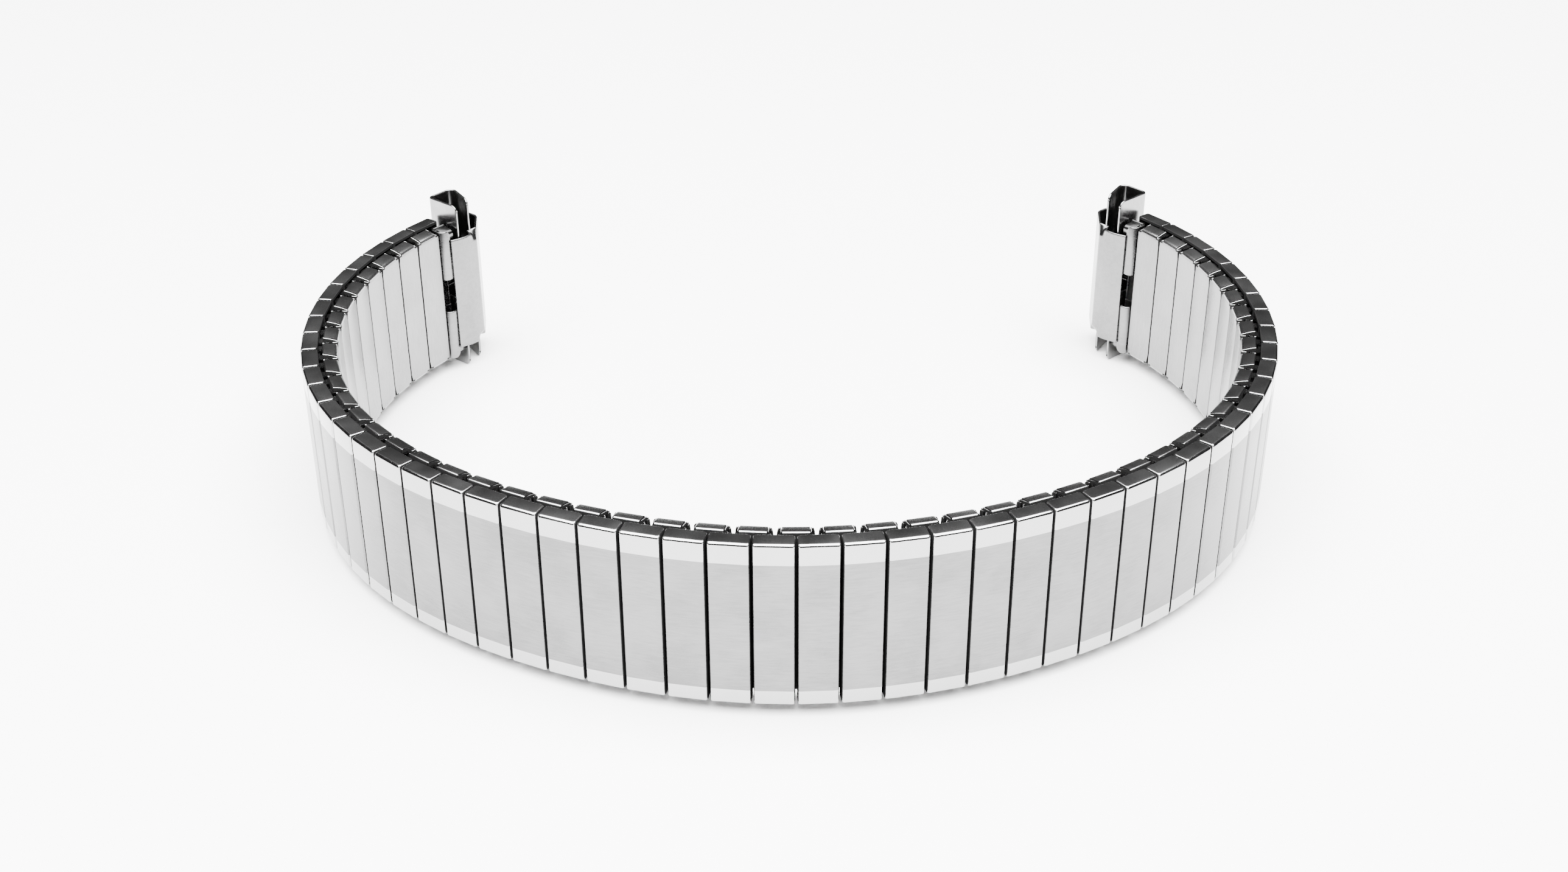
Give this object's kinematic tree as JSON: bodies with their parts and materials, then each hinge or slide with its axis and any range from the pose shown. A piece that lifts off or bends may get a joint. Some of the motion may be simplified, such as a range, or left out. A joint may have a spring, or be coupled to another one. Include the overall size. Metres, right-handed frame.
{
  "type": "expansion watch band",
  "caption": "Stretch metal watch band of two staggered rows of spring-loaded links, with sliding straight ends for different lug widths.",
  "frame": {"origin": "under the middle of the whole band's bounding box, at the height of its lowest point", "axes": "+Z across the band's width, from its lower edge to its upper edge as it stands; the closed side of the loop faces -Y and the two open ends +Y; +X to the right seen from the closed side"},
  "size_m": [0.0802, 0.0606, 0.0162],
  "materials": {
    "link_steel": "satin centre with polished ends",
    "end_steel": "satin",
    "channel_steel": "polished",
    "bow_steel": "plain spring steel"
  },
  "bodies": {
    "link_01": {"link_01": "link_steel"},
    "link_02": {"link_02": "link_steel"},
    "link_03": {"link_03": "link_steel"},
    "link_04": {"link_04": "link_steel"},
    "link_05": {"link_05": "link_steel"},
    "link_06": {"link_06": "link_steel"},
    "link_07": {"link_07": "link_steel"},
    "link_08": {"link_08": "link_steel"},
    "link_09": {"link_09": "link_steel"},
    "link_10": {"link_10": "link_steel"},
    "link_11": {"link_11": "link_steel"},
    "link_12": {"link_12": "link_steel"},
    "link_13": {"link_13": "link_steel"},
    "link_14": {"link_14": "link_steel"},
    "link_15": {"link_15": "link_steel"},
    "link_16": {"link_16": "link_steel"},
    "link_17": {"link_17": "link_steel"},
    "link_18": {"link_18": "link_steel"},
    "link_19": {"link_19": "link_steel"},
    "link_20": {"link_20": "link_steel"},
    "link_21": {"link_21": "link_steel"},
    "link_22": {"link_22": "link_steel"},
    "link_23": {"link_23": "link_steel"},
    "link_24": {"link_24": "link_steel"},
    "link_25": {"link_25": "link_steel"},
    "link_26": {"link_26": "link_steel"},
    "link_27": {"link_27": "link_steel"},
    "link_28": {"link_28": "link_steel"},
    "link_29": {"link_29": "link_steel"},
    "link_30": {"link_30": "link_steel"},
    "link_31": {"link_31": "link_steel"},
    "link_32": {"link_32": "link_steel"},
    "link_33": {"link_33": "link_steel"},
    "link_34": {"link_34": "link_steel"},
    "link_35": {"link_35": "link_steel"},
    "link_36": {"link_36": "link_steel"},
    "link_37": {"link_37": "link_steel"},
    "link_38": {"link_38": "link_steel"},
    "link_39": {"link_39": "link_steel"},
    "link_40": {"link_40": "link_steel"},
    "link_41": {"link_41": "link_steel"},
    "link_42": {"link_42": "link_steel"},
    "link_43": {"link_43": "link_steel"},
    "link_44": {"link_44": "link_steel"},
    "link_45": {"link_45": "link_steel"},
    "link_46": {"link_46": "link_steel"},
    "link_47": {"link_47": "link_steel"},
    "link_48": {"link_48": "link_steel"},
    "link_49": {"link_49": "link_steel"},
    "link_50": {"link_50": "link_steel"},
    "link_51": {"link_51": "link_steel"},
    "link_52": {"link_52": "link_steel"},
    "left_end": {"left_end_case": "end_steel", "left_end_bows": "bow_steel"},
    "left_upper_lug": {"left_upper_lug_channel": "channel_steel"},
    "left_lower_lug": {"left_lower_lug_channel": "channel_steel"},
    "right_end": {"right_end_case": "end_steel", "right_end_bows": "bow_steel"},
    "right_upper_lug": {"right_upper_lug_channel": "channel_steel"},
    "right_lower_lug": {"right_lower_lug_channel": "channel_steel"}
  },
  "joints": [
    {"name": "bend_26", "type": "hinge", "parent": "link_26", "child": "link_27", "pos_m": [-0.00018, -0.02873, 0.00775], "axis": [0, 0, 1], "range_deg": [-4.9, 1.62], "stiffness_Nm_per_rad": 0.05},
    {"name": "bend_27", "type": "hinge", "parent": "link_27", "child": "link_28", "pos_m": [0.00282, -0.02862, 0.00775], "axis": [0, 0, 1], "range_deg": [-4.65, 1.53], "stiffness_Nm_per_rad": 0.05},
    {"name": "bend_28", "type": "hinge", "parent": "link_28", "child": "link_29", "pos_m": [0.0058, -0.02826, 0.00775], "axis": [0, 0, 1], "range_deg": [-4.4, 1.45], "stiffness_Nm_per_rad": 0.05},
    {"name": "bend_29", "type": "hinge", "parent": "link_29", "child": "link_30", "pos_m": [0.00874, -0.02768, 0.00775], "axis": [0, 0, 1], "range_deg": [-4.16, 1.37], "stiffness_Nm_per_rad": 0.05},
    {"name": "bend_30", "type": "hinge", "parent": "link_30", "child": "link_31", "pos_m": [0.01164, -0.02689, 0.00775], "axis": [0, 0, 1], "range_deg": [-3.91, 1.29], "stiffness_Nm_per_rad": 0.05},
    {"name": "bend_31", "type": "hinge", "parent": "link_31", "child": "link_32", "pos_m": [0.01447, -0.02591, 0.00775], "axis": [0, 0, 1], "range_deg": [-3.66, 1.21], "stiffness_Nm_per_rad": 0.05},
    {"name": "bend_32", "type": "hinge", "parent": "link_32", "child": "link_33", "pos_m": [0.01724, -0.02474, 0.00775], "axis": [0, 0, 1], "range_deg": [-3.41, 1.13], "stiffness_Nm_per_rad": 0.05},
    {"name": "bend_33", "type": "hinge", "parent": "link_33", "child": "link_34", "pos_m": [0.01992, -0.02341, 0.00775], "axis": [0, 0, 1], "range_deg": [-3.64, 1.2], "stiffness_Nm_per_rad": 0.05},
    {"name": "bend_34", "type": "hinge", "parent": "link_34", "child": "link_35", "pos_m": [0.02252, -0.02192, 0.00775], "axis": [0, 0, 1], "range_deg": [-4.02, 1.33], "stiffness_Nm_per_rad": 0.05},
    {"name": "bend_35", "type": "hinge", "parent": "link_35", "child": "link_36", "pos_m": [0.02501, -0.02024, 0.00775], "axis": [0, 0, 1], "range_deg": [-4.41, 1.45], "stiffness_Nm_per_rad": 0.05},
    {"name": "bend_36", "type": "hinge", "parent": "link_36", "child": "link_37", "pos_m": [0.02737, -0.01838, 0.00775], "axis": [0, 0, 1], "range_deg": [-4.79, 1.58], "stiffness_Nm_per_rad": 0.05},
    {"name": "bend_37", "type": "hinge", "parent": "link_37", "child": "link_38", "pos_m": [0.02956, -0.01633, 0.00775], "axis": [0, 0, 1], "range_deg": [-5.17, 1.71], "stiffness_Nm_per_rad": 0.05},
    {"name": "bend_38", "type": "hinge", "parent": "link_38", "child": "link_39", "pos_m": [0.03155, -0.01409, 0.00775], "axis": [0, 0, 1], "range_deg": [-5.56, 1.83], "stiffness_Nm_per_rad": 0.05},
    {"name": "bend_39", "type": "hinge", "parent": "link_39", "child": "link_40", "pos_m": [0.03332, -0.01167, 0.00775], "axis": [0, 0, 1], "range_deg": [-5.68, 1.87], "stiffness_Nm_per_rad": 0.05},
    {"name": "bend_40", "type": "hinge", "parent": "link_40", "child": "link_41", "pos_m": [0.03484, -0.00908, 0.00775], "axis": [0, 0, 1], "range_deg": [-5.53, 1.83], "stiffness_Nm_per_rad": 0.05},
    {"name": "bend_41", "type": "hinge", "parent": "link_41", "child": "link_42", "pos_m": [0.0361, -0.00636, 0.00775], "axis": [0, 0, 1], "range_deg": [-5.39, 1.78], "stiffness_Nm_per_rad": 0.05},
    {"name": "bend_42", "type": "hinge", "parent": "link_42", "child": "link_43", "pos_m": [0.03711, -0.00353, 0.00775], "axis": [0, 0, 1], "range_deg": [-5.25, 1.73], "stiffness_Nm_per_rad": 0.05},
    {"name": "bend_43", "type": "hinge", "parent": "link_43", "child": "link_44", "pos_m": [0.03785, -0.00062, 0.00775], "axis": [0, 0, 1], "range_deg": [-5.1, 1.68], "stiffness_Nm_per_rad": 0.05},
    {"name": "bend_44", "type": "hinge", "parent": "link_44", "child": "link_45", "pos_m": [0.03833, 0.00234, 0.00775], "axis": [0, 0, 1], "range_deg": [-4.96, 1.64], "stiffness_Nm_per_rad": 0.05},
    {"name": "bend_45", "type": "hinge", "parent": "link_45", "child": "link_46", "pos_m": [0.03855, 0.00533, 0.00775], "axis": [0, 0, 1], "range_deg": [-4.92, 1.62], "stiffness_Nm_per_rad": 0.05},
    {"name": "bend_46", "type": "hinge", "parent": "link_46", "child": "link_47", "pos_m": [0.03851, 0.00833, 0.00775], "axis": [0, 0, 1], "range_deg": [-5.2, 1.72], "stiffness_Nm_per_rad": 0.05},
    {"name": "bend_47", "type": "hinge", "parent": "link_47", "child": "link_48", "pos_m": [0.0382, 0.01131, 0.00775], "axis": [0, 0, 1], "range_deg": [-5.48, 1.81], "stiffness_Nm_per_rad": 0.05},
    {"name": "bend_48", "type": "hinge", "parent": "link_48", "child": "link_49", "pos_m": [0.03761, 0.01425, 0.00775], "axis": [0, 0, 1], "range_deg": [-5.76, 1.9], "stiffness_Nm_per_rad": 0.05},
    {"name": "bend_49", "type": "hinge", "parent": "link_49", "child": "link_50", "pos_m": [0.03673, 0.01712, 0.00775], "axis": [0, 0, 1], "range_deg": [-6.04, 1.99], "stiffness_Nm_per_rad": 0.05},
    {"name": "bend_50", "type": "hinge", "parent": "link_50", "child": "link_51", "pos_m": [0.03555, 0.01988, 0.00775], "axis": [0, 0, 1], "range_deg": [-6.32, 2.09], "stiffness_Nm_per_rad": 0.05},
    {"name": "bend_51", "type": "hinge", "parent": "link_51", "child": "link_52", "pos_m": [0.03407, 0.02249, 0.00775], "axis": [0, 0, 1], "range_deg": [-6.6, 2.18], "stiffness_Nm_per_rad": 0.05},
    {"name": "bend_right_end", "type": "hinge", "parent": "link_52", "child": "right_end", "pos_m": [0.0323, 0.02491, 0.00775], "axis": [0, 0, 1], "range_deg": [-4, 1.32], "stiffness_Nm_per_rad": 0.05},
    {"name": "bend_25", "type": "hinge", "parent": "link_26", "child": "link_25", "pos_m": [-0.00317, -0.02858, 0.00775], "axis": [0, 0, -1], "range_deg": [-4.64, 1.53], "stiffness_Nm_per_rad": 0.05},
    {"name": "bend_24", "type": "hinge", "parent": "link_25", "child": "link_24", "pos_m": [-0.00615, -0.02819, 0.00775], "axis": [0, 0, -1], "range_deg": [-4.39, 1.45], "stiffness_Nm_per_rad": 0.05},
    {"name": "bend_23", "type": "hinge", "parent": "link_24", "child": "link_23", "pos_m": [-0.00908, -0.02757, 0.00775], "axis": [0, 0, -1], "range_deg": [-4.13, 1.36], "stiffness_Nm_per_rad": 0.05},
    {"name": "bend_22", "type": "hinge", "parent": "link_23", "child": "link_22", "pos_m": [-0.01197, -0.02675, 0.00775], "axis": [0, 0, -1], "range_deg": [-3.88, 1.28], "stiffness_Nm_per_rad": 0.05},
    {"name": "bend_21", "type": "hinge", "parent": "link_22", "child": "link_21", "pos_m": [-0.01479, -0.02573, 0.00775], "axis": [0, 0, -1], "range_deg": [-3.62, 1.2], "stiffness_Nm_per_rad": 0.05},
    {"name": "bend_20", "type": "hinge", "parent": "link_21", "child": "link_20", "pos_m": [-0.01754, -0.02453, 0.00775], "axis": [0, 0, -1], "range_deg": [-3.36, 1.11], "stiffness_Nm_per_rad": 0.05},
    {"name": "bend_19", "type": "hinge", "parent": "link_20", "child": "link_19", "pos_m": [-0.02022, -0.02318, 0.00775], "axis": [0, 0, -1], "range_deg": [-3.59, 1.18], "stiffness_Nm_per_rad": 0.05},
    {"name": "bend_18", "type": "hinge", "parent": "link_19", "child": "link_18", "pos_m": [-0.0228, -0.02166, 0.00775], "axis": [0, 0, -1], "range_deg": [-3.97, 1.31], "stiffness_Nm_per_rad": 0.05},
    {"name": "bend_17", "type": "hinge", "parent": "link_18", "child": "link_17", "pos_m": [-0.02528, -0.01996, 0.00775], "axis": [0, 0, -1], "range_deg": [-4.36, 1.44], "stiffness_Nm_per_rad": 0.05},
    {"name": "bend_16", "type": "hinge", "parent": "link_17", "child": "link_16", "pos_m": [-0.02762, -0.01809, 0.00775], "axis": [0, 0, -1], "range_deg": [-4.74, 1.56], "stiffness_Nm_per_rad": 0.05},
    {"name": "bend_15", "type": "hinge", "parent": "link_16", "child": "link_15", "pos_m": [-0.0298, -0.01602, 0.00775], "axis": [0, 0, -1], "range_deg": [-5.12, 1.69], "stiffness_Nm_per_rad": 0.05},
    {"name": "bend_14", "type": "hinge", "parent": "link_15", "child": "link_14", "pos_m": [-0.03178, -0.01377, 0.00775], "axis": [0, 0, -1], "range_deg": [-5.51, 1.82], "stiffness_Nm_per_rad": 0.05},
    {"name": "bend_13", "type": "hinge", "parent": "link_14", "child": "link_13", "pos_m": [-0.03354, -0.01134, 0.00775], "axis": [0, 0, -1], "range_deg": [-5.67, 1.87], "stiffness_Nm_per_rad": 0.05},
    {"name": "bend_12", "type": "hinge", "parent": "link_13", "child": "link_12", "pos_m": [-0.03505, -0.00875, 0.00775], "axis": [0, 0, -1], "range_deg": [-5.6, 1.85], "stiffness_Nm_per_rad": 0.05},
    {"name": "bend_11", "type": "hinge", "parent": "link_12", "child": "link_11", "pos_m": [-0.0363, -0.00602, 0.00775], "axis": [0, 0, -1], "range_deg": [-5.54, 1.83], "stiffness_Nm_per_rad": 0.05},
    {"name": "bend_10", "type": "hinge", "parent": "link_11", "child": "link_10", "pos_m": [-0.03728, -0.00318, 0.00775], "axis": [0, 0, -1], "range_deg": [-5.48, 1.81], "stiffness_Nm_per_rad": 0.05},
    {"name": "bend_09", "type": "hinge", "parent": "link_10", "child": "link_09", "pos_m": [-0.03798, -0.00027, 0.00775], "axis": [0, 0, -1], "range_deg": [-5.41, 1.79], "stiffness_Nm_per_rad": 0.05},
    {"name": "bend_08", "type": "hinge", "parent": "link_09", "child": "link_08", "pos_m": [-0.03841, 0.0027, 0.00775], "axis": [0, 0, -1], "range_deg": [-5.35, 1.76], "stiffness_Nm_per_rad": 0.05},
    {"name": "bend_07", "type": "hinge", "parent": "link_08", "child": "link_07", "pos_m": [-0.03855, 0.0057, 0.00775], "axis": [0, 0, -1], "range_deg": [-5.32, 1.76], "stiffness_Nm_per_rad": 0.05},
    {"name": "bend_06", "type": "hinge", "parent": "link_07", "child": "link_06", "pos_m": [-0.03842, 0.00869, 0.00775], "axis": [0, 0, -1], "range_deg": [-5.4, 1.78], "stiffness_Nm_per_rad": 0.05},
    {"name": "bend_05", "type": "hinge", "parent": "link_06", "child": "link_05", "pos_m": [-0.03801, 0.01167, 0.00775], "axis": [0, 0, -1], "range_deg": [-5.48, 1.81], "stiffness_Nm_per_rad": 0.05},
    {"name": "bend_04", "type": "hinge", "parent": "link_05", "child": "link_04", "pos_m": [-0.03732, 0.01459, 0.00775], "axis": [0, 0, -1], "range_deg": [-5.56, 1.83], "stiffness_Nm_per_rad": 0.05},
    {"name": "bend_03", "type": "hinge", "parent": "link_04", "child": "link_03", "pos_m": [-0.03635, 0.01742, 0.00775], "axis": [0, 0, -1], "range_deg": [-5.64, 1.86], "stiffness_Nm_per_rad": 0.05},
    {"name": "bend_02", "type": "hinge", "parent": "link_03", "child": "link_02", "pos_m": [-0.0351, 0.02015, 0.00775], "axis": [0, 0, -1], "range_deg": [-5.72, 1.89], "stiffness_Nm_per_rad": 0.05},
    {"name": "bend_01", "type": "hinge", "parent": "link_02", "child": "link_01", "pos_m": [-0.03358, 0.02274, 0.00775], "axis": [0, 0, -1], "range_deg": [-5.8, 1.91], "stiffness_Nm_per_rad": 0.05},
    {"name": "bend_left_end", "type": "hinge", "parent": "link_01", "child": "left_end", "pos_m": [-0.03182, 0.02517, 0.00775], "axis": [0, 0, -1], "range_deg": [-4, 1.32], "stiffness_Nm_per_rad": 0.05},
    {"name": "left_upper_slide", "type": "slide", "parent": "left_end", "child": "left_upper_lug", "axis": [0, 0, 1], "range_m": [-0.0015, 0.001]},
    {"name": "left_lower_slide", "type": "slide", "parent": "left_end", "child": "left_lower_lug", "axis": [0, 0, -1], "range_m": [-0.00075, 0.00175]},
    {"name": "right_upper_slide", "type": "slide", "parent": "right_end", "child": "right_upper_lug", "axis": [0, 0, 1], "range_m": [-0.0015, 0.001]},
    {"name": "right_lower_slide", "type": "slide", "parent": "right_end", "child": "right_lower_lug", "axis": [0, 0, -1], "range_m": [-0.00075, 0.00175]}
  ]
}
